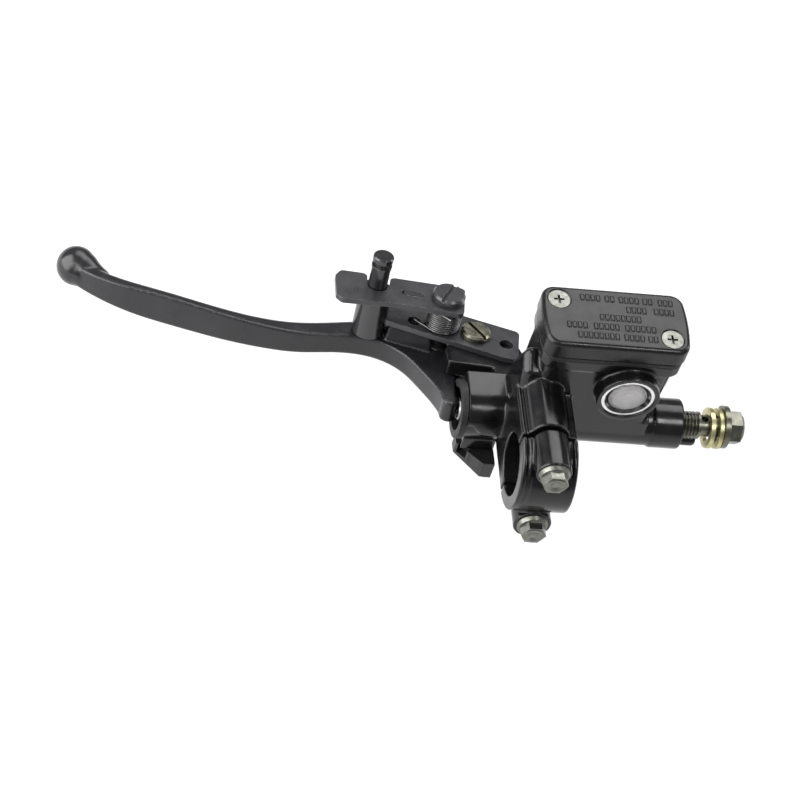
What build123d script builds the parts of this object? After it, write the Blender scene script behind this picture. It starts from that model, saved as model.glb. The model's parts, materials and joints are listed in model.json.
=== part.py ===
"""Handlebar brake master cylinder with reservoir, lever and sprung park latch.

Frame: the origin is the centre of the handlebar clamp bore. +X runs along the bar and
the hydraulic bore, from the lever towards the hose. +Z is up, square to the reservoir
cap. -Y faces the rider. The lever and its latch work in a plane of their own, which
tips forward about X. Sizes are in millimetres.
"""

import os
from math import cos, radians, sin

from build123d import *

# ---- driving dimensions -------------------------------------------------------------

# handlebar clamp
BAR_RADIUS = 11.1
CLAMP_RADIUS = 16.0
CLAMP_HALF_WIDTH = 10.0
SPLIT_GAP = 1.0
CLAMP_BOLT_HEIGHT = 15.5
CLAMP_SEAT_Y = -15.5
LOWER_SEAT_Y = -14.4
RIB_RADIUS = 0.95
RIBS_X = (-9.0, -6.8)
UPPER_BOSS_RADIUS = 7.3
CLAMP_BOSS_RADIUS = 6.3

# hydraulic cylinder
CYLINDER_Y = 28.1
CYLINDER_Z = -6.4
BARREL_RADIUS = 8.5
MOUTH_RADIUS = 9.8
MOUTH_X = -23.5
MOUTH_LENGTH = 13.5
SHOULDER_RADIUS = 10.4
COUNTERBORE_RADIUS = 7.7
COUNTERBORE_END_X = -13.3
BORE_RADIUS = 6.35
BORE_END_X = 38.0
PORT_BOSS_RADIUS = 9.1
PORT_BOSS_X = 45.4
PORT_FACE_X = 56.4
PORT_THREAD_RADIUS = 5.0
PORT_THREAD_DEPTH = 11.0

# reservoir
TANK_X = (-3.3, 44.0)
TANK_Y = (19.85, 45.9)
TANK_FLOOR_Z = 5.0
TANK_RIM_Z = 34.7
TANK_WALL = 3.0
TANK_CORNER = 5.0
RIM_X = (-4.0, 45.2)
RIM_BOW = 1.3
CAP_BASE_Z = 35.9
CAP_TOP_Z = 43.4
CAP_SCREWS = [(0.9, 40.3), (40.1, 25.8)]
GLASS_X = 28.6
GLASS_Z = 21.3
GLASS_BOSS_RADIUS = 11.25
GLASS_FACE_Y = 14.95

# lever plane: heights above the cylinder axis, measured square to the plane
LEVER_TILT = 13.0
PIVOT = (-17.5, 55.5)
PIVOT_RADIUS = 3.0
LEVER_HALF = 4.6
BLADE_HALF = 5.8
ARM_HALF = 4.2
EAR_GAP = 5.0
EAR_TOP = 11.0
NOSE = (-28.4, 28.8)
NOSE_RADIUS = 2.9

# brake lamp switch
SWITCH_TOP = -21.0
SWITCH_HEIGHT = 7.8
SWITCH_FLANGE = 2.2
SWITCH_SCREW = (-14.4, 24.6)

# park latch
CARRIER_BOTTOM = 11.1
PLATE_THICKNESS = 2.0
LATCH_BOTTOM = 23.0
LATCH_PIVOT = (-29.3, 59.6)
LATCH_PIN = (-54.5, 65.0)
PIN_RADIUS = 3.45
POST_RADIUS = 5.9
PIN_TOP = 38.0

CLEAR = 0.03

tilt = radians(LEVER_TILT)
LEVER = Plane(origin=(0, 0, 0), x_dir=(1, 0, 0), z_dir=(0, sin(tilt), cos(tilt)))
UP_FROM = (Align.CENTER, Align.CENTER, Align.MIN)


# ---- helpers ------------------------------------------------------------------------


def along_x(x, y=CYLINDER_Y, z=CYLINDER_Z):
    """Plane square to X: its local x is +Y and its local y is +Z."""
    return Plane(origin=(x, y, z), x_dir=(0, 1, 0), z_dir=(1, 0, 0))


def facing_rider(x, y, z):
    """Plane square to Y whose normal points at the rider."""
    return Plane(origin=(x, y, z), x_dir=(1, 0, 0), z_dir=(0, -1, 0))


def on_lever(point, height):
    """Plane of the lever, moved to a point (x, forward) at a height above it."""
    return Plane(
        origin=LEVER.from_local_coords(Vector(point[0], point[1], height)),
        x_dir=LEVER.x_dir,
        z_dir=LEVER.z_dir,
    )


def rod(plane, radius, length, mode=Mode.ADD):
    """Round bar that starts on a plane and follows its normal."""
    with Locations(plane.location):
        Cylinder(radius, length, align=UP_FROM, mode=mode)


def cone(plane, radius, top_radius, length, mode=Mode.ADD):
    """Tapered bar that starts on a plane and follows its normal."""
    with Locations(plane.location):
        Cone(radius, top_radius, length, align=UP_FROM, mode=mode)


def block(x, y, z, mode=Mode.ADD):
    """Box between pairs of limits."""
    middle = ((x[0] + x[1]) / 2, (y[0] + y[1]) / 2, (z[0] + z[1]) / 2)
    with Locations(middle):
        Box(x[1] - x[0], y[1] - y[0], z[1] - z[0], mode=mode)


def plate(points, corner, bottom, top, mode=Mode.ADD):
    """Flat piece in the lever plane, with every corner rounded."""
    with BuildSketch(LEVER.offset(bottom)) as face:
        with BuildLine():
            Polyline(*points, close=True)
        make_face()
        fillet(face.vertices(), radius=corner)
    extrude(face.sketch, amount=top - bottom, mode=mode)


def tank_face(z, x, y, corner, bow=0.0):
    """Rounded outline of the reservoir at one height, with bowed short ends."""
    middle = (y[0] + y[1]) / 2
    with BuildSketch(Plane.XY.offset(z)) as face:
        with BuildLine():
            Line((x[0], y[0]), (x[1], y[0]))
            if bow:
                ThreePointArc((x[1], y[0]), (x[1] + bow, middle), (x[1], y[1]))
            else:
                Line((x[1], y[0]), (x[1], y[1]))
            Line((x[1], y[1]), (x[0], y[1]))
            if bow:
                ThreePointArc((x[0], y[1]), (x[0] - bow, middle), (x[0], y[0]))
            else:
                Line((x[0], y[1]), (x[0], y[0]))
        make_face()
        fillet(face.vertices(), radius=corner)
    return face.sketch


def hexagon(plane, flats, length, mode=Mode.ADD):
    """Hexagonal prism that starts on a plane, given its size across flats."""
    with BuildSketch(plane) as face:
        RegularPolygon(flats / 2, 6, major_radius=False)
    extrude(face.sketch, amount=length, mode=mode)


def turned(base, angle):
    """Turn a plane about its own normal."""
    return Plane(base.location * Rotation(0, 0, angle))


def wind(base, radius, wire, turns, height):
    """Sweep round wire into a coil about a plane's normal, and return its path."""
    path = base.location * Helix(height / turns, height, radius, mode=Mode.PRIVATE)
    with BuildSketch(Plane(path @ 0, z_dir=path % 0)) as section:
        Circle(wire)
    sweep(section.sketch, path=path, is_frenet=True)
    return path


def save(builder, name):
    """Label one finished piece and write it."""
    builder.part.label = name
    export_step(builder.part, f"parts/{name}.step")


os.makedirs("parts", exist_ok=True)

# ---- master cylinder body: one casting ----------------------------------------------

inset = TANK_WALL
saddle_x = (TANK_X[0], 41.6)

with BuildPart() as body:
    # barrel, port boss and the thicker mouth that the lever pushes into
    rod(along_x(MOUTH_X), MOUTH_RADIUS, MOUTH_LENGTH)
    rod(along_x(MOUTH_X + MOUTH_LENGTH), BARREL_RADIUS, PORT_BOSS_X - MOUTH_X - MOUTH_LENGTH)
    rod(along_x(PORT_BOSS_X), PORT_BOSS_RADIUS, PORT_FACE_X - PORT_BOSS_X)

    # stub beside the port that stops the hose union from turning
    rod(along_x(PORT_BOSS_X + 3.0, CYLINDER_Y, CYLINDER_Z - 8.2), 2.5, 15.6)
    cone(along_x(PORT_BOSS_X + 18.6, CYLINDER_Y, CYLINDER_Z - 8.2), 2.5, 1.9, 1.0)

    # reservoir shell with a flange at its rim
    foot = tank_face(2.0, (TANK_X[0], 42.2), TANK_Y, TANK_CORNER)
    shoulder = tank_face(TANK_RIM_Z - 5.0, TANK_X, TANK_Y, TANK_CORNER)
    loft([foot, shoulder])
    rim = tank_face(TANK_RIM_Z - 5.0, RIM_X, (TANK_Y[0] - 0.3, TANK_Y[1] + 0.3), TANK_CORNER, RIM_BOW)
    extrude(rim, amount=5.0)

    # front wall carried down to the barrel, with a rounded lower corner
    with BuildSketch(facing_rider(0, TANK_Y[0], 0)) as apron:
        with BuildLine():
            Polyline(
                (saddle_x[0], CYLINDER_Z),
                (saddle_x[1], CYLINDER_Z),
                (42.2, 3.0),
                (saddle_x[0], 3.0),
                close=True,
            )
        make_face()
        fillet(apron.vertices().sort_by(Axis.X)[-2:].sort_by(Axis.Z)[0], radius=4.0)
    extrude(apron.sketch, amount=-(CYLINDER_Y + BARREL_RADIUS - TANK_Y[0]))

    # clamp saddle and the arm that carries it from the barrel
    with BuildSketch(along_x(-CLAMP_HALF_WIDTH, 0, 0)) as arm:
        Circle(CLAMP_RADIUS)
        with BuildLine():
            Polyline(
                (2.0, 15.85),
                (TANK_Y[0] + 4.0, 15.85),
                (TANK_Y[0] + 4.0, CYLINDER_Z),
                (CYLINDER_Y + 2.4, -14.6),
                (4.4, -15.4),
                close=True,
            )
        make_face()
    extrude(arm.sketch, amount=2 * CLAMP_HALF_WIDTH)
    rod(facing_rider(-0.2, TANK_Y[0] + 3.0, CLAMP_BOLT_HEIGHT), UPPER_BOSS_RADIUS, TANK_Y[0] + 3.0)
    rod(facing_rider(0, 14.0, -CLAMP_BOLT_HEIGHT), 6.8, 14.0)
    for rib_x, rib_z in zip(RIBS_X, (16.0, 17.2)):
        rod(facing_rider(rib_x, TANK_Y[0] + 1.0, rib_z), RIB_RADIUS, TANK_Y[0] + 1.0)

    # blend of the arm into the left end of the reservoir, rounded on its open side
    with BuildPart(mode=Mode.PRIVATE) as gusset:
        with BuildSketch(along_x(-9.0, 0, 0)) as side_view:
            with BuildLine():
                Polyline((TANK_Y[0] - 2, 8), (TANK_Y[0] + 2, 24), (30, 29), (38, 12), (38, -6), close=True)
            make_face()
            fillet(side_view.vertices(), radius=2.0)
        extrude(side_view.sketch, amount=9.0)
        fillet(gusset.faces().sort_by(Axis.X)[0].edges(), radius=3.2)
    add(gusset.part)

    # web and the two ears that hold the lever
    plate([(-12.6, 30), (-12.6, 50), (-8, 60), (-2, 56), (1, 44), (1, 30)], 1.5, -EAR_TOP, EAR_TOP)
    for bottom, top in ((EAR_GAP, EAR_TOP), (-EAR_TOP, -EAR_GAP)):
        ear = [(-28.8, 41.6), (-28.9, 49.0), (-25.6, 55.0), (-6, 60.5), (-2, 54), (-1.4, 38.8)]
        plate(ear, 1.0, bottom, top)
        rod(on_lever(PIVOT, bottom), 8.2, top - bottom)
    # flat-topped shoulder of the barrel, stepped off the mouth on its lower left
    shoulder_top = CYLINDER_Z + SHOULDER_RADIUS
    block((MOUTH_X + 0.3, -7.0), (CYLINDER_Y, 37.6), (-13.0, shoulder_top))
    with BuildPart(mode=Mode.PRIVATE) as shoulder_front:
        with BuildSketch(facing_rider(0, CYLINDER_Y, 0)) as step:
            with BuildLine():
                Polyline(
                    (MOUTH_X + 0.3, shoulder_top),
                    (-7.0, shoulder_top),
                    (-7.0, -9.0),
                    (-16.8, -8.0),
                    (-21.0, -3.4),
                    (MOUTH_X + 0.3, -3.4),
                    close=True,
                )
            make_face()
        extrude(step.sketch, amount=SHOULDER_RADIUS)
        rod(along_x(MOUTH_X), SHOULDER_RADIUS, 20, Mode.INTERSECT)
    add(shoulder_front.part)
    # shelf under the barrel that the lamp switch hangs from
    block((-21.5, -9.4), (21.5, 29.0), (-20.9, -14.8))
    rod(Plane((*SWITCH_SCREW, -22.0)), 1.3, 5.6, Mode.SUBTRACT)

    # everything in front of the split plane belongs to the clamp cap
    block((-30, 30), (-60, SPLIT_GAP / 2), (-60, 28), mode=Mode.SUBTRACT)

    # reservoir cavity, with posts for the cap screws left standing
    inner_y = (TANK_Y[0] + inset, TANK_Y[1] - inset)
    floor = tank_face(TANK_FLOOR_Z, (TANK_X[0] + inset, 42.6 - inset), inner_y, 3.0)
    mouth = tank_face(TANK_RIM_Z, (TANK_X[0] + inset, TANK_X[1] - inset), inner_y, 3.0)
    loft([floor, mouth], mode=Mode.SUBTRACT)
    for x, y in CAP_SCREWS:
        rod(Plane((x, y, 20.0)), 4.2, TANK_RIM_Z - 20.0)
        rod(Plane((x, y, 22.0)), 2.0, TANK_RIM_Z - 22.0, Mode.SUBTRACT)

    # sight glass boss, its seat and its window
    rod(facing_rider(GLASS_X, TANK_Y[0] + 1.0, GLASS_Z), GLASS_BOSS_RADIUS, TANK_Y[0] + 1.0 - GLASS_FACE_Y)
    rod(facing_rider(GLASS_X, GLASS_FACE_Y + 3.0, GLASS_Z), 9.4, 3.0, Mode.SUBTRACT)
    rod(facing_rider(GLASS_X, TANK_Y[0] + 5.0, GLASS_Z), 5.6, 10.0, Mode.SUBTRACT)

    # hydraulic bore, counterbore, retaining groove and outlet
    rod(along_x(MOUTH_X - 1), COUNTERBORE_RADIUS, COUNTERBORE_END_X - MOUTH_X + 1, Mode.SUBTRACT)
    rod(along_x(-15.55), COUNTERBORE_RADIUS + 0.5, 1.1, Mode.SUBTRACT)
    rod(along_x(COUNTERBORE_END_X), BORE_RADIUS, BORE_END_X - COUNTERBORE_END_X, Mode.SUBTRACT)
    cone(along_x(BORE_END_X), BORE_RADIUS, 1.5, 3.0, Mode.SUBTRACT)
    rod(along_x(BORE_END_X), 1.5, 14.0, Mode.SUBTRACT)
    rod(along_x(PORT_FACE_X - PORT_THREAD_DEPTH), PORT_THREAD_RADIUS, PORT_THREAD_DEPTH, Mode.SUBTRACT)
    for port_x, port_radius in ((10.6, 0.5), (0.0, 1.6)):
        rod(Plane((port_x, CYLINDER_Y, CYLINDER_Z)), port_radius, 14.0, Mode.SUBTRACT)

    # way in for the lever: a slot through the side of the mouth
    slot = [(-32, 25.2), (-23, 25.2), (-23, 30), (-14.4, 30), (-14.4, 46.6), (-32, 46.6)]
    with BuildSketch(LEVER.offset(-EAR_GAP)) as way_in:
        with BuildLine():
            Polyline(*slot, close=True)
        make_face()
    extrude(way_in.sketch, amount=2 * EAR_GAP, mode=Mode.SUBTRACT)
    rod(on_lever(PIVOT, -EAR_GAP), 9.6, 2 * EAR_GAP, Mode.SUBTRACT)
    rod(on_lever(PIVOT, -EAR_TOP - 1), PIVOT_RADIUS + CLEAR, 2 * EAR_TOP + 2, Mode.SUBTRACT)

    # bar bore and the tapped holes for the clamp bolts
    rod(along_x(-20, 0, 0), BAR_RADIUS, 40, Mode.SUBTRACT)
    rod(facing_rider(0, 17.0, CLAMP_BOLT_HEIGHT), 3.0, 20.0, Mode.SUBTRACT)
    rod(facing_rider(0, 12.5, -CLAMP_BOLT_HEIGHT), 3.0, 20.0, Mode.SUBTRACT)

save(body, "master_cylinder_body")

# ---- clamp cap and its two flange bolts ----------------------------------------------

with BuildPart() as clamp_cap:
    rod(along_x(-CLAMP_HALF_WIDTH, 0, 0), CLAMP_RADIUS, 2 * CLAMP_HALF_WIDTH)
    rod(facing_rider(0, 0, CLAMP_BOLT_HEIGHT), CLAMP_BOSS_RADIUS, -CLAMP_SEAT_Y)
    rod(facing_rider(0, 0, -CLAMP_BOLT_HEIGHT), 6.8, -LOWER_SEAT_Y)
    # raised ribs that start at the split and fade out round the ring
    for rib_x in (*RIBS_X, -RIBS_X[0]):
        with Locations(along_x(rib_x, 0, 0.8).location):
            Torus(CLAMP_RADIUS - 0.8, RIB_RADIUS)
    block((-30, 30), (-SPLIT_GAP / 2, 40), (-60, 60), mode=Mode.SUBTRACT)
    rod(along_x(-20, 0, 0), BAR_RADIUS, 40, Mode.SUBTRACT)
    for height in (CLAMP_BOLT_HEIGHT, -CLAMP_BOLT_HEIGHT):
        rod(facing_rider(0, 10, height), 3.2, 40, Mode.SUBTRACT)

save(clamp_cap, "clamp_cap")

with BuildPart() as clamp_bolts:
    upper_bolt = (CLAMP_BOLT_HEIGHT, CLAMP_SEAT_Y, 31.0)
    lower_bolt = (-CLAMP_BOLT_HEIGHT, LOWER_SEAT_Y, 25.4)
    for height, seat_y, length in (upper_bolt, lower_bolt):
        seat = facing_rider(0, seat_y, height)
        cone(seat, 5.65, 5.0, 1.4)
        hexagon(seat.offset(1.4), 8.0, 3.2)
        cone(seat.offset(4.6), 4.1, 3.5, 0.4)
        cone(seat.offset(4.4), 1.4, 2.9, 0.7, Mode.SUBTRACT)
        rod(facing_rider(0, seat_y + length, height), 3.0, length)

save(clamp_bolts, "clamp_bolts")

# ---- reservoir cap stack --------------------------------------------------------------

CAP_X = (-4.4, 45.8)
CAP_Y = (19.8, 46.4)
MARK_PITCH = 1.9

with BuildPart() as cap:
    extrude(tank_face(CAP_BASE_Z, CAP_X, CAP_Y, TANK_CORNER, RIM_BOW), amount=CAP_TOP_Z - CAP_BASE_Z)
    fillet(cap.faces().sort_by(Axis.Z)[-1].edges(), radius=1.8)
    recess_x = (CAP_X[0] + 2.2, CAP_X[1] - 2.2)
    recess_y = (CAP_Y[0] + 2.2, CAP_Y[1] - 2.2)
    extrude(tank_face(CAP_BASE_Z, recess_x, recess_y, 3.0), amount=4.2, mode=Mode.SUBTRACT)
    # generic raised marking: rows of plain blocks
    block_rows = [
        (41.6, (8.5, 15.5), (17.5, 20.5), (22.5, 29.5), (31.0, 34.5), (36.0, 42.5)),
        (37.4, (24.0, 32.5), (34.0, 42.5)),
        (33.2, (14.0, 30.0)),
        (29.0, (2.0, 10.0), (11.5, 21.5), (23.0, 34.5)),
        (24.8, (5.5, 21.0), (22.5, 29.5), (31.0, 34.5)),
    ]
    with BuildSketch(Plane((0, 0, CAP_TOP_Z - 0.1))) as marks:
        for block_y, *words in block_rows:
            for left, right in words:
                count = round((right - left) / MARK_PITCH)
                with Locations(((left + right) / 2, block_y)):
                    with GridLocations(MARK_PITCH, 1, count, 1):
                        Rectangle(MARK_PITCH - 0.7, 2.3)
    extrude(marks.sketch, amount=0.45)
    for x, y in CAP_SCREWS:
        rod(Plane((x, y, CAP_BASE_Z + 1.1)), 4.6, 3.4)
        rod(Plane((x, y, CAP_BASE_Z - 1)), 2.1, 10, Mode.SUBTRACT)
        cone(Plane((x, y, CAP_TOP_Z - 2.6)), 2.1, 4.1, 2.3, Mode.SUBTRACT)
        rod(Plane((x, y, CAP_TOP_Z - 0.3)), 4.3, 1.0, Mode.SUBTRACT)

save(cap, "reservoir_cap")

with BuildPart() as diaphragm_plate:
    outline = tank_face(
        CAP_BASE_Z, (recess_x[0] + 0.3, recess_x[1] - 0.3), (recess_y[0] + 0.3, recess_y[1] - 0.3), 2.7
    )
    extrude(outline, amount=1.0)
    block((8, 33), (26, 40), (CAP_BASE_Z - 1, CAP_BASE_Z + 2), mode=Mode.SUBTRACT)
    for x, y in CAP_SCREWS:
        rod(Plane((x, y, CAP_BASE_Z - 1)), 2.2, 4, Mode.SUBTRACT)

save(diaphragm_plate, "diaphragm_plate")

with BuildPart() as diaphragm:
    rim_y = (TANK_Y[0] - 0.3, TANK_Y[1] + 0.3)
    extrude(tank_face(TANK_RIM_Z, RIM_X, rim_y, TANK_CORNER, RIM_BOW), amount=CAP_BASE_Z - TANK_RIM_Z)
    extrude(tank_face(27.0, (5.9, 35.1), (23.6, 42.1), 3.0), amount=TANK_RIM_Z - 27.0)
    extrude(tank_face(28.2, (7.1, 33.9), (24.8, 40.9), 2.0), amount=10, mode=Mode.SUBTRACT)
    for x, y in CAP_SCREWS:
        rod(Plane((x, y, TANK_RIM_Z - 1)), 2.1, 4, Mode.SUBTRACT)

save(diaphragm, "diaphragm")

with BuildPart() as cap_screws:
    for x, y in CAP_SCREWS:
        rod(Plane((x, y, 25.0)), 2.0, CAP_TOP_Z - 2.6 - 25.0)
        cone(Plane((x, y, CAP_TOP_Z - 2.6)), 2.0, 4.0, 2.3)
        for size in ((3.7, 0.8), (0.8, 3.7)):
            with Locations((x, y, CAP_TOP_Z - 0.3)):
                Box(size[0], size[1], 2.4, mode=Mode.SUBTRACT)

save(cap_screws, "cap_screws")

# ---- sight glass ------------------------------------------------------------------------

seat_y = GLASS_FACE_Y + 3.0

with BuildPart() as bezel:
    rod(facing_rider(GLASS_X, seat_y, GLASS_Z), 9.35, 2.4)
    rod(facing_rider(GLASS_X, seat_y + 1, GLASS_Z), 6.9, 5, Mode.SUBTRACT)
    cone(facing_rider(GLASS_X, seat_y - 1.0, GLASS_Z), 6.9, 8.3, 1.5, Mode.SUBTRACT)

save(bezel, "sight_glass_bezel")

with BuildPart() as glass_seal:
    rod(facing_rider(GLASS_X, seat_y, GLASS_Z), 6.8, 0.8)
    rod(facing_rider(GLASS_X, seat_y + 1, GLASS_Z), 5.6, 4, Mode.SUBTRACT)

save(glass_seal, "sight_glass_seal")

with BuildPart() as lens:
    rod(facing_rider(GLASS_X, seat_y - 0.8, GLASS_Z), 6.8, 0.9)
    cone(facing_rider(GLASS_X, seat_y - 1.7, GLASS_Z), 6.4, 5.4, 1.1)
    fillet(lens.faces().sort_by(Axis.Y)[0].edges(), radius=0.7)

save(lens, "sight_glass_lens")

with BuildPart() as reflector:
    rod(facing_rider(GLASS_X, seat_y + 2.2, GLASS_Z), 5.55, 0.8)
    rod(facing_rider(GLASS_X, seat_y + 3, GLASS_Z), 1.6, 3, Mode.SUBTRACT)

save(reflector, "sight_glass_reflector")

with BuildPart() as baffle:
    block((0.6, 14.0), (24.2, 32.0), (7.4, 8.0))
    for x in ((0.6, 1.2), (13.4, 14.0)):
        block(x, (24.2, 32.0), (TANK_FLOOR_Z, 8.0))

save(baffle, "port_baffle")

# ---- hose union bolt and sealing washers ------------------------------------------------

THREAD_PITCH = 1.25
THREAD_END_X = 63.9
BANJO_FLANGE_X = 72.4

with BuildPart() as banjo_bolt:
    rod(along_x(PORT_FACE_X - 9.0), PORT_THREAD_RADIUS, THREAD_END_X - PORT_FACE_X + 9.0)
    for turn in range(5):
        groove_x = PORT_FACE_X + 0.5 + turn * THREAD_PITCH
        with BuildSketch(Plane.XZ.offset(-CYLINDER_Y)) as groove:
            with BuildLine():
                Polyline(
                    (groove_x, CYLINDER_Z + PORT_THREAD_RADIUS + 0.1),
                    (groove_x + 0.5 * THREAD_PITCH, CYLINDER_Z + 4.3),
                    (groove_x + THREAD_PITCH, CYLINDER_Z + PORT_THREAD_RADIUS + 0.1),
                    close=True,
                )
            make_face()
        cylinder_axis = Axis((0, CYLINDER_Y, CYLINDER_Z), (1, 0, 0))
        revolve(groove.sketch, axis=cylinder_axis, mode=Mode.SUBTRACT)
    rod(along_x(THREAD_END_X), 3.9, BANJO_FLANGE_X - THREAD_END_X)
    rod(along_x(BANJO_FLANGE_X), 7.75, 2.0)
    hexagon(along_x(BANJO_FLANGE_X + 2.0), 11.0, 4.8)
    cone(along_x(BANJO_FLANGE_X + 6.8), 5.6, 4.7, 1.0)
    rod(along_x(PORT_FACE_X - 9.0), 1.9, 16.5, Mode.SUBTRACT)
    rod(Plane((65.7, CYLINDER_Y, CYLINDER_Z - 8)), 1.3, 16, Mode.SUBTRACT)

save(banjo_bolt, "banjo_bolt")

WASHER_BORE = 5.05
for name, start_x in (("inner_banjo_washer", 67.3), ("outer_banjo_washer", 70.7)):
    with BuildPart() as washer:
        hang = along_x(start_x, CYLINDER_Y, CYLINDER_Z - (WASHER_BORE - 3.9) + 0.02)
        rod(hang, 7.4, 1.6)
        rod(hang.offset(-1), WASHER_BORE, 4, Mode.SUBTRACT)
    save(washer, name)

# ---- piston, cups and spring ------------------------------------------------------------

STEM_TIP_X = NOSE[0] + NOSE_RADIUS + 0.12
STEM_RADIUS = 4.0
LAND_RADIUS = BORE_RADIUS - CLEAR
PISTON_REAR_X = COUNTERBORE_END_X + 0.1

# outline of the turned piston: (distance along the bore, radius)
piston_profile = [
    (STEM_TIP_X, 0),
    (STEM_TIP_X, STEM_RADIUS - 0.5),
    (STEM_TIP_X + 0.5, STEM_RADIUS),
    (PISTON_REAR_X, STEM_RADIUS),
    (PISTON_REAR_X, LAND_RADIUS),
    (-11.2, LAND_RADIUS),
    (-11.2, 3.8),
    (-7.8, 3.8),
    (-7.8, LAND_RADIUS),
    (-5.8, LAND_RADIUS),
    (-5.8, 3.6),
    (5.0, 3.6),
    (5.0, LAND_RADIUS),
    (6.4, LAND_RADIUS),
    (6.4, 3.0),
    (11.0, 3.0),
    (11.0, 0),
]

with BuildPart() as piston:
    with BuildSketch(Plane((0, CYLINDER_Y, CYLINDER_Z), x_dir=(1, 0, 0), z_dir=(0, -1, 0))) as section:
        with BuildLine():
            Polyline(*piston_profile, close=True)
        make_face()
    revolve(section.sketch, axis=Axis((0, CYLINDER_Y, CYLINDER_Z), (1, 0, 0)))

save(piston, "piston")

for name, start_x, length, inner in (
    ("secondary_cup", -11.1, 3.2, 3.8),
    ("primary_cup", 6.45, 3.0, 3.0),
):
    with BuildPart() as cup:
        rod(along_x(start_x), BORE_RADIUS - 0.04, length)
        rod(along_x(start_x - 1), inner, length + 2, Mode.SUBTRACT)
        cone(along_x(start_x + 1.4), inner, inner + 2.0, length - 1.4, Mode.SUBTRACT)
    save(cup, name)

with BuildPart() as spring_seat:
    rod(along_x(9.5), 5.5, 0.9)
    rod(along_x(9.4), 3.0, 2.0, Mode.SUBTRACT)

save(spring_seat, "spring_seat")

SPRING_START_X = 10.45
SPRING_WIRE = 0.55
SPRING_TURNS = 7

with BuildPart() as return_spring:
    length = BORE_END_X - 0.05 - SPRING_START_X - 2 * SPRING_WIRE
    wind(along_x(SPRING_START_X + SPRING_WIRE), 4.9, SPRING_WIRE, SPRING_TURNS, length)

save(return_spring, "return_spring")

with BuildPart() as stop_washer:
    rod(along_x(COUNTERBORE_END_X - 1.1), COUNTERBORE_RADIUS - 0.1, 1.05)
    rod(along_x(-20), STEM_RADIUS + 0.1, 10, Mode.SUBTRACT)

save(stop_washer, "piston_stop_washer")

with BuildPart() as circlip:
    rod(along_x(-15.5), COUNTERBORE_RADIUS + 0.4, 1.0)
    rod(along_x(-16), 5.7, 2.0, Mode.SUBTRACT)
    block((-17, -14), (CYLINDER_Y - 1.6, CYLINDER_Y + 1.6), (CYLINDER_Z - 10, CYLINDER_Z), mode=Mode.SUBTRACT)

save(circlip, "piston_circlip")

with BuildPart() as mouth_seal:
    rod(along_x(MOUTH_X - 2.2), MOUTH_RADIUS + 0.8, 2.2)
    rod(along_x(MOUTH_X - 5), COUNTERBORE_RADIUS + 0.1, 10, Mode.SUBTRACT)
    seal_slot = [(-40, 24.9), (-15, 24.9), (-15, 60), (-40, 60)]
    plate(seal_slot, 0.2, -EAR_GAP - 0.3, EAR_GAP + 0.3, Mode.SUBTRACT)

save(mouth_seal, "mouth_seal")

# ---- lever pivot hardware -----------------------------------------------------------------

CARRIER_TOP = CARRIER_BOTTOM + PLATE_THICKNESS

with BuildPart() as pivot_bolt:
    head = on_lever(PIVOT, CARRIER_TOP + 0.08)
    rod(head, 5.4, 1.6)
    cone(head.offset(1.6), 5.4, 4.6, 0.7)
    with Locations(turned(head.offset(2.3), -60).location):
        Box(12, 1.3, 2.2, mode=Mode.SUBTRACT)
    rod(on_lever(PIVOT, -EAR_TOP - 5.6), PIVOT_RADIUS, EAR_TOP + 5.8 + CARRIER_TOP)

save(pivot_bolt, "lever_pivot_bolt")

with BuildPart() as pivot_nut:
    hexagon(on_lever(PIVOT, -EAR_TOP - 5.0), 10.0, 5.0)
    rod(on_lever(PIVOT, -EAR_TOP - 6.0), PIVOT_RADIUS, 8, Mode.SUBTRACT)

save(pivot_nut, "lever_pivot_nut")

with BuildPart() as bushing:
    rod(on_lever(PIVOT, -LEVER_HALF - 0.2), 5.0, 2 * LEVER_HALF + 0.4)
    rod(on_lever(PIVOT, -LEVER_HALF - 1), PIVOT_RADIUS + CLEAR, 12, Mode.SUBTRACT)

save(bushing, "lever_bushing")

# ---- brake lever -----------------------------------------------------------------------------

BALL = (-157.6, 96.1)
BALL_RADIUS = 7.3

# rider's side of the blade, from the ball to the nose that pushes the piston
front_edge = [
    (-157.0, 88.6),
    (-141.7, 78.8),
    (-123.5, 71.9),
    (-106.6, 65.7),
    (-92.0, 61.7),
    (-79.0, 60.0),
    (-62.0, 61.0),
    (-50.0, 58.6),
    (-42.0, 52.2),
    (-36.6, 42.7),
    (-33.0, 35.0),
    (-31.2, 29.4),
]
# far side of the blade, from the pivot back to the ball
back_edge = [
    (-21.0, 64.0),
    (-33.0, 69.6),
    (-48.0, 72.6),
    (-62.0, 71.2),
    (-83.0, 68.0),
    (-106.8, 71.8),
    (-124.3, 77.8),
    (-141.0, 84.8),
    (-152.0, 92.6),
]
# half thickness of the lever along its length
thickness = [(-170, 3.4), (-152, 4.6), (-136, BLADE_HALF), (-112, BLADE_HALF), (-78, 4.6), (-60, ARM_HALF)]

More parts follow.
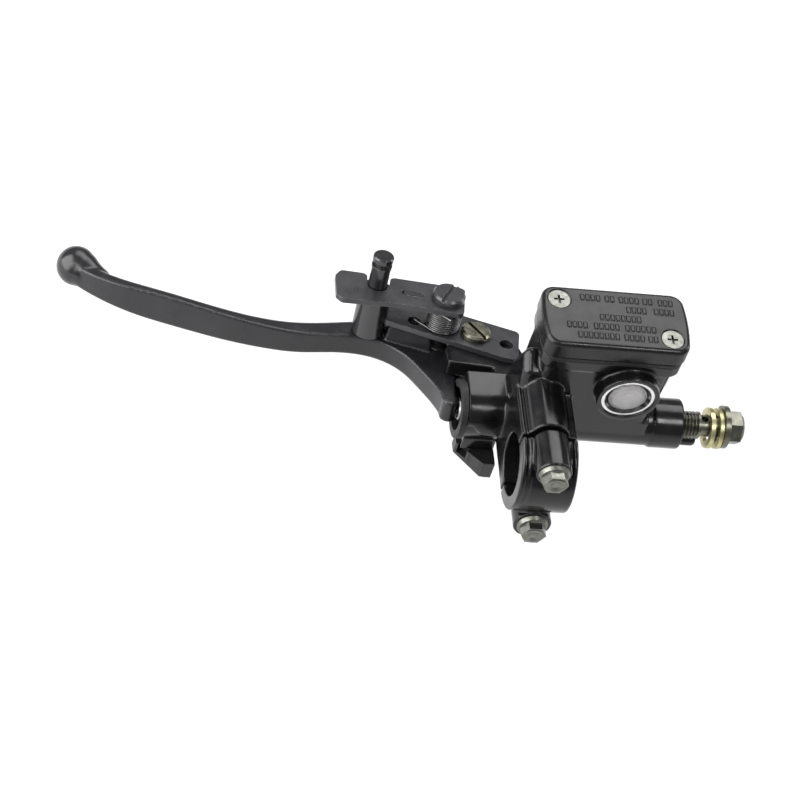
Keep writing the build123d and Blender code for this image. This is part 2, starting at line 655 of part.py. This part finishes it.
with BuildPart() as lever:
    with BuildSketch(LEVER.offset(-8)) as plan:
        with BuildLine():
            Spline(*front_edge)
            Polyline(
                front_edge[-1],
                (NOSE[0] + NOSE_RADIUS - 0.4, NOSE[1]),
                (-25.8, 36.0),
                (-24.6, 44.0),
                PIVOT,
                back_edge[0],
            )
            Spline(*back_edge)
            Line(back_edge[-1], front_edge[0])
        make_face()
        with Locations(NOSE):
            Circle(NOSE_RADIUS)
    extrude(plan.sketch, amount=16)
    side = Plane(origin=(0, 0, 0), x_dir=(1, 0, 0), z_dir=-LEVER.y_dir)
    with BuildSketch(side) as profile:
        with BuildLine():
            Spline(*thickness, tangents=[(1, 0.1), (1, 0)])
            Polyline(thickness[-1], (10, ARM_HALF), (10, -ARM_HALF), (thickness[-1][0], -ARM_HALF))
            Spline(*[(x, -half) for x, half in reversed(thickness)], tangents=[(-1, 0), (-1, 0.1)])
            Line((thickness[0][0], -thickness[0][1]), thickness[0])
        make_face()
    extrude(profile.sketch, amount=200, both=True, mode=Mode.INTERSECT)
    blade_edges = lever.edges().filter_by(lambda edge: edge.length > 60).sort_by(Axis.Y)
    fillet(blade_edges[-2:], radius=3.0)
    fillet(lever.edges().filter_by(lambda edge: edge.length > 60).sort_by(Axis.Y)[:2], radius=0.9)
    with Locations(on_lever(BALL, 0).location):
        Sphere(BALL_RADIUS)
    rod(on_lever(PIVOT, -LEVER_HALF), 8.9, 2 * LEVER_HALF)
    # pad and web under the carrier plate
    rod(on_lever(LATCH_PIVOT, 0), 3.4, CARRIER_BOTTOM)
    with BuildSketch(LEVER.offset(2.0)) as web:
        with BuildLine():
            Polyline((-31.8, 53.6), (-30.6, 67.8), (-48.4, 71.2), (-49.4, 59.6), close=True)
        make_face()
        fillet(web.vertices(), radius=1.5)
    extrude(web.sketch, amount=CARRIER_BOTTOM - 2.0, taper=11)
    rod(on_lever(LATCH_PIN, ARM_HALF + 0.6), POST_RADIUS + 0.3, 20, Mode.SUBTRACT)
    rod(on_lever((-39.2, 61.1), CARRIER_BOTTOM - 3), 2.4, 20, Mode.SUBTRACT)
    rod(on_lever(LATCH_PIVOT, -2), PIVOT_RADIUS, 20, Mode.SUBTRACT)
    rod(on_lever(LATCH_PIN, -2), 3.0, 20, Mode.SUBTRACT)
    rod(on_lever(PIVOT, -8), 5.0, 16, Mode.SUBTRACT)

save(lever, "brake_lever")

# ---- park latch ---------------------------------------------------------------------------------

with BuildPart() as carrier:
    strip = [
        (-0.6, 58.8),
        (-3.6, 42.2),
        (-9.0, 43.6),
        (-50.4, 60.4),
        (-49.4, 71.0),
        (-30.0, 69.6),
        (-20.2, 66.2),
    ]
    plate(strip, 2.2, CARRIER_BOTTOM, CARRIER_TOP)
    rod(on_lever(LATCH_PIN, 0), POST_RADIUS + CLEAR, 20, Mode.SUBTRACT)
    rod(on_lever(PIVOT, 0), PIVOT_RADIUS + CLEAR, 20, Mode.SUBTRACT)
    rod(on_lever(LATCH_PIVOT, 0), PIVOT_RADIUS, 20, Mode.SUBTRACT)
    rod(on_lever((-6.6, 51.2), 0), 2.55, 20, Mode.SUBTRACT)
    rod(on_lever((-39.2, 61.1), 0), 2.4, 20, Mode.SUBTRACT)

save(carrier, "latch_carrier")

with BuildPart() as post:
    rod(on_lever(LATCH_PIN, -2), 3.0, 7)
    rod(on_lever(LATCH_PIN, LEVER_HALF + 0.02), POST_RADIUS, LATCH_BOTTOM - LEVER_HALF - 0.12)
    rod(on_lever(LATCH_PIN, 20), PIN_RADIUS, 13.4)
    rod(on_lever(LATCH_PIN, 32.9), 3.7, 1.1)
    rod(on_lever(LATCH_PIN, 33.8), 2.5, 2.2)
    rod(on_lever(LATCH_PIN, 35.8), 3.75, PIN_TOP - 36.2)
    cone(on_lever(LATCH_PIN, PIN_TOP - 0.4), 3.75, 3.35, 0.4)

save(post, "lock_post")

LATCH_TOP = LATCH_BOTTOM + PLATE_THICKNESS

with BuildPart() as latch_screw:
    head = on_lever(LATCH_PIVOT, LATCH_TOP + 0.08)
    rod(head, 5.95, 2.1)
    cone(head.offset(2.1), 5.95, 5.3, 0.8)
    with Locations(turned(head.offset(2.9), 59).location):
        Box(14, 1.4, 2.2, mode=Mode.SUBTRACT)
    rod(on_lever(LATCH_PIVOT, -2), PIVOT_RADIUS, LATCH_TOP + 2.2)

save(latch_screw, "latch_pivot_screw")

with BuildPart() as spacer:
    rod(on_lever(LATCH_PIVOT, CARRIER_TOP), 4.3, LATCH_BOTTOM - CARRIER_TOP - 0.08)
    rod(on_lever(LATCH_PIVOT, 10), PIVOT_RADIUS, 20, Mode.SUBTRACT)

save(spacer, "latch_spacer")

LATCH_WIRE = 0.37
LATCH_COIL_RADIUS = 6.15
LATCH_COILS = 10
HOOK_ANGLE = 223.3

with BuildPart() as latch_spring:
    height = LATCH_BOTTOM - CARRIER_TOP - 2 * LATCH_WIRE - 0.8
    base = on_lever(LATCH_PIVOT, CARRIER_TOP + LATCH_WIRE + 0.4)
    coil = wind(turned(base, HOOK_ANGLE), LATCH_COIL_RADIUS, LATCH_WIRE, LATCH_COILS, height)
    # fixed leg, hooked down through the carrier
    leg = Plane(coil @ 0, z_dir=-(coil % 0))
    rod(leg, LATCH_WIRE, 7.9)
    hook_point = leg.offset(7.9).origin
    rod(Plane(hook_point, z_dir=-LEVER.z_dir), LATCH_WIRE, 3.0)
    with Locations(hook_point):
        Sphere(LATCH_WIRE)
    # free leg, lying under the latch plate
    rod(Plane(coil @ 1, z_dir=coil % 1), LATCH_WIRE, 7.0)

save(latch_spring, "latch_spring")

with BuildPart() as latch:
    outline = [
        (-68.3, 55.3),
        (-48.7, 54.8),
        (-24.6, 51.0),
        (-22.0, 66.6),
        # mouth that holds the pin, open to the far side
        (-49.2, 69.9),
        (-50.0, 64.0),
        (-58.4, 64.0),
        (-57.4, 71.2),
        (-67.0, 72.2),
        (-69.4, 69.0),
        (-70.2, 58.0),
    ]
    plate(outline, 1.9, LATCH_BOTTOM, LATCH_TOP)
    rod(on_lever(LATCH_PIN, LATCH_BOTTOM - 1), 3.85, 4, Mode.SUBTRACT)
    rod(on_lever(LATCH_PIVOT, LATCH_BOTTOM - 1), PIVOT_RADIUS + CLEAR, 4, Mode.SUBTRACT)
    slot_plane = turned(on_lever((-42.0, 61.1), LATCH_BOTTOM - 1), -9)
    with BuildSketch(slot_plane) as window:
        SlotOverall(8.3, 2.8)
    extrude(window.sketch, amount=4, mode=Mode.SUBTRACT)

save(latch, "latch_plate")

# ---- brake lamp switch ---------------------------------------------------------------------------

switch_plan = [(-22.7, 28.0), (-22.7, 24.1), (-13.5, 15.4), (-9.2, 15.4), (-9.2, 28.0)]

with BuildPart() as switch_case:
    with BuildSketch(Plane((0, 0, SWITCH_TOP))) as outline:
        with BuildLine():
            Polyline(*switch_plan, close=True)
        make_face()
    extrude(outline.sketch, amount=-SWITCH_HEIGHT)
    # underside rising towards the plunger end
    with BuildSketch(facing_rider(0, 30, 0)) as rise:
        with BuildLine():
            Polyline(
                (-24, SWITCH_TOP - 5),
                (-12, SWITCH_TOP - SWITCH_HEIGHT),
                (-24, SWITCH_TOP - SWITCH_HEIGHT - 1),
                close=True,
            )
        make_face()
    extrude(rise.sketch, amount=20, mode=Mode.SUBTRACT)
    # two pockets in the slanted face, with a rib between them
    slant = Plane((-18.1, 19.75, SWITCH_TOP - 2.6), x_dir=(0.727, -0.687, 0), z_dir=(-0.687, -0.727, 0))
    with BuildSketch(slant) as pockets:
        with Locations((-3.2, 0.6), (2.2, 0.2)):
            Rectangle(4.2, 4.4)
    extrude(pockets.sketch, amount=-3.0, mode=Mode.SUBTRACT)
    rod(Plane((*SWITCH_SCREW, SWITCH_TOP - 20)), 2.6, 20 - SWITCH_FLANGE, Mode.SUBTRACT)
    rod(Plane((*SWITCH_SCREW, SWITCH_TOP - 5)), 1.6, 10, Mode.SUBTRACT)

save(switch_case, "brake_switch_case")

with BuildPart() as switch_screw:
    rod(Plane((*SWITCH_SCREW, SWITCH_TOP - SWITCH_FLANGE - 1.4)), 2.3, 1.38)
    rod(Plane((*SWITCH_SCREW, SWITCH_TOP - SWITCH_FLANGE - 1.0)), 1.3, 6.1)
    slot_z = (SWITCH_TOP - SWITCH_FLANGE - 2, SWITCH_TOP - SWITCH_FLANGE - 0.7)
    block((-20, 0), (SWITCH_SCREW[1] - 0.3, SWITCH_SCREW[1] + 0.3), slot_z, Mode.SUBTRACT)

save(switch_screw, "brake_switch_screw")

with BuildPart() as switch_terminals:
    switch_base = SWITCH_TOP - SWITCH_HEIGHT
    for x in (-12.4, -10.8):
        block((x - 0.3, x + 0.3), (19.0, 22.0), (switch_base - 1.6, switch_base))

save(switch_terminals, "brake_switch_terminals")
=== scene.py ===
"""Looks of the brake master cylinder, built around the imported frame."""
import json

import bmesh
import bpy
from mathutils import Matrix, Vector


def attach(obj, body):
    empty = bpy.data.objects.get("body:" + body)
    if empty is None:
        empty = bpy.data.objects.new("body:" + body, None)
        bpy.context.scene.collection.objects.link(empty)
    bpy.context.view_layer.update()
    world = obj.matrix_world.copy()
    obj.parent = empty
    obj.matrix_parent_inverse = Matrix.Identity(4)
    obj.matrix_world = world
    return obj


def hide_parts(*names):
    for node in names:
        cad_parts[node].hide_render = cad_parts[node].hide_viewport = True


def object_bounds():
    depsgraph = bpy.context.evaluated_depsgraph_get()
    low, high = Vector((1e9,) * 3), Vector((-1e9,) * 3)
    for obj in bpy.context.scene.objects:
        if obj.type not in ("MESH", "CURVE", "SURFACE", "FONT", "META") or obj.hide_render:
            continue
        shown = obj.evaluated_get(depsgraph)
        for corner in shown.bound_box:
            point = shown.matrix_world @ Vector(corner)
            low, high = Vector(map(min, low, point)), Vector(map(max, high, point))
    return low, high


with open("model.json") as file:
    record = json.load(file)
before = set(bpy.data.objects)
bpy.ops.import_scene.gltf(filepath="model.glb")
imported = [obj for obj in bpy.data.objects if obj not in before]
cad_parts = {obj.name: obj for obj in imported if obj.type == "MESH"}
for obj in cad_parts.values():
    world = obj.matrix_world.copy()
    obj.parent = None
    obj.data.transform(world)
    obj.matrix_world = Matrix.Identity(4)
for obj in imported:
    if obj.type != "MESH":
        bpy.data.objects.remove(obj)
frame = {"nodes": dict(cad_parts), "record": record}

NODES = frame["nodes"]
CAD_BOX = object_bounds()
MM = 0.001
SCENE = bpy.context.scene


def placed(name, data):
    """New object with this data, linked to the scene."""
    made = bpy.data.objects.new(name, data)
    SCENE.collection.objects.link(made)
    return made


# ---- camera --------------------------------------------------------------------------------------

# where the photo was taken from: the camera's place, and its axes in the CAD's frame
CAMERA_AT = Vector((-0.287084, -0.658621, 0.857101))
RIGHT = Vector((0.97456957, -0.07781472, 0.21014047))
UP = Vector((-0.06857955, 0.78920228, 0.61029223))
TOWARDS_CAMERA = Vector((-0.21333306, -0.60918358, 0.76379603))

camera_data = bpy.data.cameras.new("camera")
camera_data.sensor_width = 36.0
camera_data.lens = 144.0
camera_data.clip_start = 0.01
camera = placed("camera", camera_data)
turn = Matrix((RIGHT, UP, TOWARDS_CAMERA)).transposed()
camera.matrix_world = Matrix.Translation(CAMERA_AT) @ turn.to_4x4()
SCENE.camera = camera

# ---- light ---------------------------------------------------------------------------------------

MIDDLE = Vector((-0.04, 0.03, 0.0))  # middle of the part, which every softbox faces
TOPS_MIRROR = Vector((0.213, 0.609, 0.764))  # flat tops mirror this direction into the camera
RIDGES_MIRROR = Vector((-0.29, -0.40, 0.87))  # the lever's ridge and the cap's rim mirror this one
WORLD_COLOR = (0.96, 0.965, 1.0, 1.0)
WORLD_STRENGTH = 0.3


def softbox(name, direction, distance, size, power):
    """Rectangular light that faces the middle of the part, in metres and watts."""
    data = bpy.data.lights.new(name, "AREA")
    data.shape = "RECTANGLE"
    data.size, data.size_y = size
    data.energy = power
    light = placed(name, data)
    toward = direction.normalized()
    light.location = MIDDLE + toward * distance
    light.rotation_euler = toward.to_track_quat("Z", "Y").to_euler()


from_left = -0.77 * RIGHT + 0.56 * TOWARDS_CAMERA + 0.31 * UP
from_front = 0.56 * RIGHT + 0.83 * TOWARDS_CAMERA + 0.1 * UP
from_right = RIGHT + 0.35 * UP - 0.1 * TOWARDS_CAMERA
softbox("left_softbox", from_left, distance=0.95, size=(1.2, 1.1), power=22.0)
softbox("front_softbox", from_front, distance=1.1, size=(0.22, 0.3), power=2.8)
softbox("top_softbox", TOPS_MIRROR, distance=0.9, size=(0.8, 0.5), power=5.0)
softbox("camera_strip", RIDGES_MIRROR, distance=1.3, size=(0.4, 0.08), power=1.6)
softbox("right_strip", from_right, distance=0.9, size=(0.15, 0.7), power=2.0)

world = bpy.data.worlds.new("studio")
world.use_nodes = True
background = world.node_tree.nodes["Background"]
background.inputs["Color"].default_value = WORLD_COLOR
background.inputs["Strength"].default_value = WORLD_STRENGTH
SCENE.world = world
SCENE.view_settings.view_transform = "Standard"

# ---- shader nodes that the materials share -------------------------------------------------------

BEVEL_SAMPLES = 4
EDGE_STARTS, EDGE_FULL = 0.97, 0.82  # cosine between the rounded and the flat normal at an edge
NOISE_LOW, NOISE_HIGH = 0.3, 0.7  # most of a noise's values lie between these
MIX_FACTOR, MIX_FIRST, MIX_SECOND, MIX_RESULT = 0, 6, 7, 2  # colour sockets of the Mix node
SHADER_SOCKETS = {
    "color": "Base Color",
    "rough": "Roughness",
    "metal": "Metallic",
    "normal": "Normal",
    "specular": "Specular IOR Level",
    "transmission": "Transmission Weight",
    "ior": "IOR",
}


class Graph:
    """A new material, with short names for the nodes that feed its shader."""

    def __init__(self, name):
        self.material = bpy.data.materials.new(name)
        self.material.use_nodes = True
        self.tree = self.material.node_tree
        self.shader = self.tree.nodes["Principled BSDF"]
        self.place = self.tree.nodes.new("ShaderNodeTexCoord").outputs["Object"]

    def feed(self, socket, value):
        """Link what another node puts out, or set a plain value."""
        if isinstance(value, bpy.types.NodeSocket):
            self.tree.links.new(value, socket)
        else:
            socket.default_value = value

    def node(self, kind, inputs=None, **settings):
        made = self.tree.nodes.new(kind)
        for key, value in settings.items():
            setattr(made, key, value)
        for socket, value in (inputs or {}).items():
            self.feed(made.inputs[socket], value)
        return made

    def noise(self, size, detail=3.0):
        """Noise whose features are about this size in millimetres."""
        inputs = {"Vector": self.place, "Scale": 1.0 / MM / size, "Detail": detail}
        return self.node("ShaderNodeTexNoise", inputs).outputs["Fac"]

    def span(self, source, low, high, to_low, to_high):
        inputs = {
            "Value": source,
            "From Min": low,
            "From Max": high,
            "To Min": to_low,
            "To Max": to_high,
        }
        return self.node("ShaderNodeMapRange", inputs).outputs["Result"]

    def patches(self, size, low=0.35, high=0.7, detail=3.0):
        """0 to 1 in soft patches, where the noise goes from low to high."""
        return self.span(self.noise(size, detail), low, high, 0.0, 1.0)

    def uneven(self, middle, below, above, size, detail=3.0):
        """Roughness that wanders round a middle value."""
        noise = self.noise(size, detail)
        return self.span(noise, NOISE_LOW, NOISE_HIGH, middle - below, middle + above)

    def times(self, first, second):
        made = self.node("ShaderNodeMath", {0: first, 1: second}, operation="MULTIPLY")
        return made.outputs["Value"]

    def blend(self, factor, first, second):
        """Mix two colours."""
        inputs = {MIX_FACTOR: factor, MIX_FIRST: first, MIX_SECOND: second}
        return self.node("ShaderNodeMix", inputs, data_type="RGBA").outputs[MIX_RESULT]

    def lay(self, tone, color, mask, strength):
        """Lay a colour over a tone where the mask is 1."""
        return self.blend(self.times(mask, strength), tone, color)

    def vector(self, operation, first, second=None, result="Vector"):
        inputs = {0: first} if second is None else {0: first, 1: second}
        made = self.node("ShaderNodeVectorMath", inputs, operation=operation)
        return made.outputs[result]

    def edges(self, radius):
        """Rounded normal, and a mask that is 1 on outer and inner edges."""
        bevel = self.node("ShaderNodeBevel", {"Radius": radius * MM}, samples=BEVEL_SAMPLES)
        rounded = bevel.outputs["Normal"]
        flat = self.node("ShaderNodeNewGeometry").outputs["Normal"]
        cosine = self.vector("DOT_PRODUCT", rounded, flat, result="Value")
        return rounded, self.span(cosine, EDGE_STARTS, EDGE_FULL, 0.0, 1.0)

    def bump(self, height, depth, normal=None):
        """Bumps of this depth in millimetres, on top of a normal if there is one."""
        inputs = {"Height": height, "Distance": depth * MM}
        if normal is not None:
            inputs["Normal"] = normal
        return self.node("ShaderNodeBump", inputs).outputs["Normal"]

    def put(self, **values):
        """Feed the shader and return the finished material."""
        for key, value in values.items():
            self.feed(self.shader.inputs[SHADER_SOCKETS[key]], value)
        return self.material


def gray(level, blue=0.0):
    """Gray of this level, with that much more blue in it."""
    return (level, level, level * (1.0 + blue), 1.0)


# ---- materials -----------------------------------------------------------------------------------
# Tones run from dark to light, and sizes, radii and depths are in millimetres.

FINE_PEEL = 0.25  # depth of the paint's fine grain, as a share of its orange peel
BLUE_DULLS = 1.1  # blue loses a little more in the dull patches of plating, which yellows them
PLATED_EDGE = 1.25  # how much brighter the edges of plated pieces are
MOULDED_EDGE = 1.8  # and those of moulded ones
MILKY, MILKY_PALE = (0.86, 0.84, 0.84, 1.0), (0.95, 0.94, 0.94, 1.0)


def paint(name, dark, light, rough, peel, edge=0.35, wear_and_highlight=0.09, grain=1.6, specular=0.5):
    """Black paint over metal: orange peel, uneven tone and gloss, and paler edges, partly rubbed
    wear and partly a painted highlight.
    """
    g = Graph(name)
    rounded, edge_mask = g.edges(edge)
    tone = g.blend(g.patches(size=14.0), gray(dark, blue=0.14), gray(light, blue=0.12))
    # paler edges: partly rubbed wear, partly a painted highlight where light catches them
    rubbed_and_highlit = g.times(edge_mask, g.patches(size=2.2, low=0.42, high=0.62))
    tone = g.lay(tone, gray(wear_and_highlight, blue=0.03), rubbed_and_highlit, strength=0.75)
    gloss = g.uneven(rough, below=0.06, above=0.09, size=6.0, detail=5.0)
    fine = g.bump(g.noise(size=0.7, detail=2.0), peel * FINE_PEEL, rounded)
    normal = g.bump(g.noise(size=grain, detail=2.0), peel, fine)
    return g.put(color=tone, rough=gloss, normal=normal, specular=specular)


def plated(name, color, rough, edge=0.2, dull=0.35):
    """Plated steel: blotchy tone, brighter edges and fine tool marks. With edge=None, no edges."""
    g = Graph(name)
    rounded, edge_mask = g.edges(edge) if edge else (None, 0.0)
    red, green, blue = color
    dulled = (red * (1 - dull), green * (1 - dull), blue * (1 - dull * BLUE_DULLS), 1.0)
    bright = (*[min(1.0, c * PLATED_EDGE) for c in color], 1.0)
    tone = g.blend(g.patches(size=3.5, high=0.68, detail=5.0), dulled, (*color, 1.0))
    tone = g.lay(tone, bright, edge_mask, strength=0.35)
    gloss = g.uneven(rough, below=0.08, above=0.12, size=1.6, detail=4.0)
    normal = g.bump(g.noise(size=0.5, detail=2.0), depth=0.012, normal=rounded)
    return g.put(color=tone, rough=gloss, metal=1.0, normal=normal)


def moulded(name, dark, light, rough):
    """Moulded rubber or nylon with a fine grain."""
    g = Graph(name)
    rounded, edge_mask = g.edges(radius=0.25)
    tone = g.blend(g.patches(size=5.0), gray(dark), gray(light))
    tone = g.lay(tone, gray(light * MOULDED_EDGE), edge_mask, strength=0.4)
    gloss = g.uneven(rough, below=0.07, above=0.1, size=1.2)
    normal = g.bump(g.noise(size=0.35), depth=0.02, normal=rounded)
    return g.put(color=tone, rough=gloss, normal=normal)


def clear(name):
    """Slightly milky moulded lens with a faintly uneven face."""
    g = Graph(name)
    tone = g.blend(g.patches(size=5.0), MILKY, MILKY_PALE)
    haze = g.span(g.noise(size=4.0), low=0.4, high=0.7, to_low=0.05, to_high=0.16)
    normal = g.bump(g.noise(size=0.8), depth=0.006)
    return g.put(color=tone, rough=haze, transmission=0.72, ior=1.47, normal=normal)


def ringed(name, node, lip_radius, lip_blur):
    """Bright turned lip round a darker conical inside, centred on a node that faces the rider."""
    g = Graph(name)
    corners = [Vector(c) for c in NODES[node].bound_box]
    centre = sum(corners, Vector()) / len(corners)
    offset = g.vector("SUBTRACT", g.place, centre)
    across = g.vector("MULTIPLY", offset, (1.0, 0.0, 1.0))  # without Y, the way to the rider
    radius = g.vector("LENGTH", across, result="Value")
    starts, full = (lip_radius - lip_blur) * MM, (lip_radius + lip_blur) * MM
    lip = g.span(radius, starts, full, 0.0, 1.0)
    cloud = g.patches(size=2.5)
    inside = g.blend(cloud, gray(0.10), gray(0.22))
    tone = g.blend(lip, inside, g.blend(cloud, gray(0.66), gray(0.86)))
    gloss = g.uneven(0.21, below=0.09, above=0.09, size=1.6, detail=4.0)
    normal = g.bump(g.noise(size=0.5, detail=2.0), depth=0.01)
    return g.put(color=tone, rough=gloss, metal=1.0, normal=normal)


PAINTS = {
    "casting_paint": dict(dark=0.003, light=0.006, rough=0.19, peel=0.02, specular=0.42),
    "cap_paint": dict(dark=0.004, light=0.008, rough=0.25, peel=0.012, edge=0.25, wear_and_highlight=0.07,
                      grain=1.0, specular=0.35),
    # the lever's wide pale edge is a painted highlight along its ridge, besides some wear
    "lever_paint": dict(dark=0.009, light=0.014, rough=0.22, peel=0.008, edge=0.9, wear_and_highlight=0.15),
    "plate_paint": dict(dark=0.018, light=0.028, rough=0.30, peel=0.008, edge=0.25, wear_and_highlight=0.24,
                        grain=0.9, specular=0.65),
    "pin_paint": dict(dark=0.007, light=0.013, rough=0.17, peel=0.005, edge=0.2, wear_and_highlight=0.22,
                      specular=0.8),
}
PLATINGS = {
    "zinc": dict(color=(0.225, 0.23, 0.21), rough=0.34),
    "yellow_zinc": dict(color=(0.25, 0.242, 0.19), rough=0.30),
    "dark_nickel": dict(color=(0.19, 0.188, 0.16), rough=0.30),
    "washer_gold": dict(color=(0.58, 0.54, 0.30), rough=0.34, dull=0.25),
    "spring_steel": dict(color=(0.17, 0.17, 0.175), rough=0.3, edge=None),
    "piston_alloy": dict(color=(0.34, 0.345, 0.35), rough=0.3),
    "terminal_brass": dict(color=(0.5, 0.4, 0.22), rough=0.3),
    "bushing_bronze": dict(color=(0.3, 0.22, 0.12), rough=0.45),
}
MOULDINGS = {
    "reflector_white": dict(dark=0.72, light=0.82, rough=0.35),
    "rubber_black": dict(dark=0.005, light=0.010, rough=0.60),
    "switch_plastic": dict(dark=0.007, light=0.012, rough=0.42),
    "diaphragm_plate_plastic": dict(dark=0.4, light=0.5, rough=0.4),
}

BY_SLOT = {
    "bezel_bright": ringed("bezel_bright", "sight_glass_bezel", lip_radius=8.35, lip_blur=0.15),
    "lens_clear": clear("lens_clear"),
}
for maker, looks in ((paint, PAINTS), (plated, PLATINGS), (moulded, MOULDINGS)):
    BY_SLOT.update({name: maker(name, **values) for name, values in looks.items()})

for part in frame["record"]["subparts"]:
    mesh = NODES[part["node"]].data
    mesh.materials.clear()
    mesh.materials.append(BY_SLOT[part["material_slot"]])

# ---- castings with soft edges --------------------------------------------------------------------

MERGE_DISTANCE = 0.002  # mm, joins the vertices that the CAD mesh keeps apart for each face
SMOOTH_FACTOR = 0.5
BALL_SUBDIVISIONS = 4
LOWEST, HIGHEST = 0, 6  # corners of a bound_box

# the blade flares into the lever's ball through a chain of shrinking spheres, in millimetres
BALL = Vector((-157.6, 93.64, -21.62))
TOWARDS_BLADE = Vector((0.751, -0.643, 0.1485))
FLARE = ((2.5, 6.6), (4.5, 5.8), (6.5, 5.1), (8.5, 4.6), (10.5, 4.2))  # from the ball, radius
NECK = [(BALL + TOWARDS_BLADE * distance, radius) for distance, radius in FLARE]


def softened(node, name, body, slot, voxel, rounds, balls=()):
    """A cast copy of a CAD node, with its edges and inner corners rounded.

    The voxel is in millimetres, and the balls are filled into the shape.
    """
    mesh = NODES[node].data.copy()
    shape = bmesh.new()
    shape.from_mesh(mesh)
    bmesh.ops.remove_doubles(shape, verts=shape.verts, dist=MERGE_DISTANCE * MM)
    for centre, radius in balls:
        place = Matrix.Translation(centre * MM)
        bmesh.ops.create_icosphere(
            shape, subdivisions=BALL_SUBDIVISIONS, radius=radius * MM, matrix=place
        )
    shape.to_mesh(mesh)
    shape.free()
    piece = placed(name, mesh)
    remesh = piece.modifiers.new("remesh", "REMESH")
    remesh.mode = "VOXEL"
    remesh.voxel_size = voxel * MM
    remesh.use_smooth_shade = True
    smooth = piece.modifiers.new("smooth", "SMOOTH")
    smooth.factor = SMOOTH_FACTOR
    smooth.iterations = rounds
    bpy.context.view_layer.update()
    evaluated = piece.evaluated_get(bpy.context.evaluated_depsgraph_get())
    final = bpy.data.meshes.new_from_object(evaluated)
    piece.modifiers.clear()
    piece.data = final
    # nothing may stick out of the CAD node's own box
    low, high = NODES[node].bound_box[LOWEST], NODES[node].bound_box[HIGHEST]
    for vertex in final.vertices:
        vertex.co = [min(max(c, low[i]), high[i]) for i, c in enumerate(vertex.co)]
    final.materials.clear()
    final.materials.append(BY_SLOT[slot])
    final.shade_smooth()
    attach(piece, body)
    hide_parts(node)


softened("master_cylinder_body", "casting", "housing", "casting_paint", voxel=0.34, rounds=8)
softened("clamp_cap", "clamp_half", "housing", "casting_paint", voxel=0.3, rounds=8)
softened("reservoir_cap", "cap", "housing", "cap_paint", voxel=0.18, rounds=2)
softened("brake_lever", "lever_blade", "lever", "lever_paint", voxel=0.34, rounds=12, balls=NECK)

# ---- floor ---------------------------------------------------------------------------------------

FLOOR_REACH = 4.0  # m, from the middle to each side
FLOOR_DROP = 0.07  # m below the part, so that no shadow falls near it, as in the photo
FLOOR_LEVEL = 0.72

floor_mesh = bpy.data.meshes.new("floor")
floor_shape = bmesh.new()
bmesh.ops.create_grid(floor_shape, x_segments=1, y_segments=1, size=FLOOR_REACH)
floor_shape.to_mesh(floor_mesh)
floor_shape.free()
floor = placed("floor", floor_mesh)
floor.location = (0.0, 0.0, CAD_BOX[0][2] - FLOOR_DROP)
floor_mesh.materials.append(Graph("floor").put(color=gray(FLOOR_LEVEL), rough=0.8, specular=0.1))
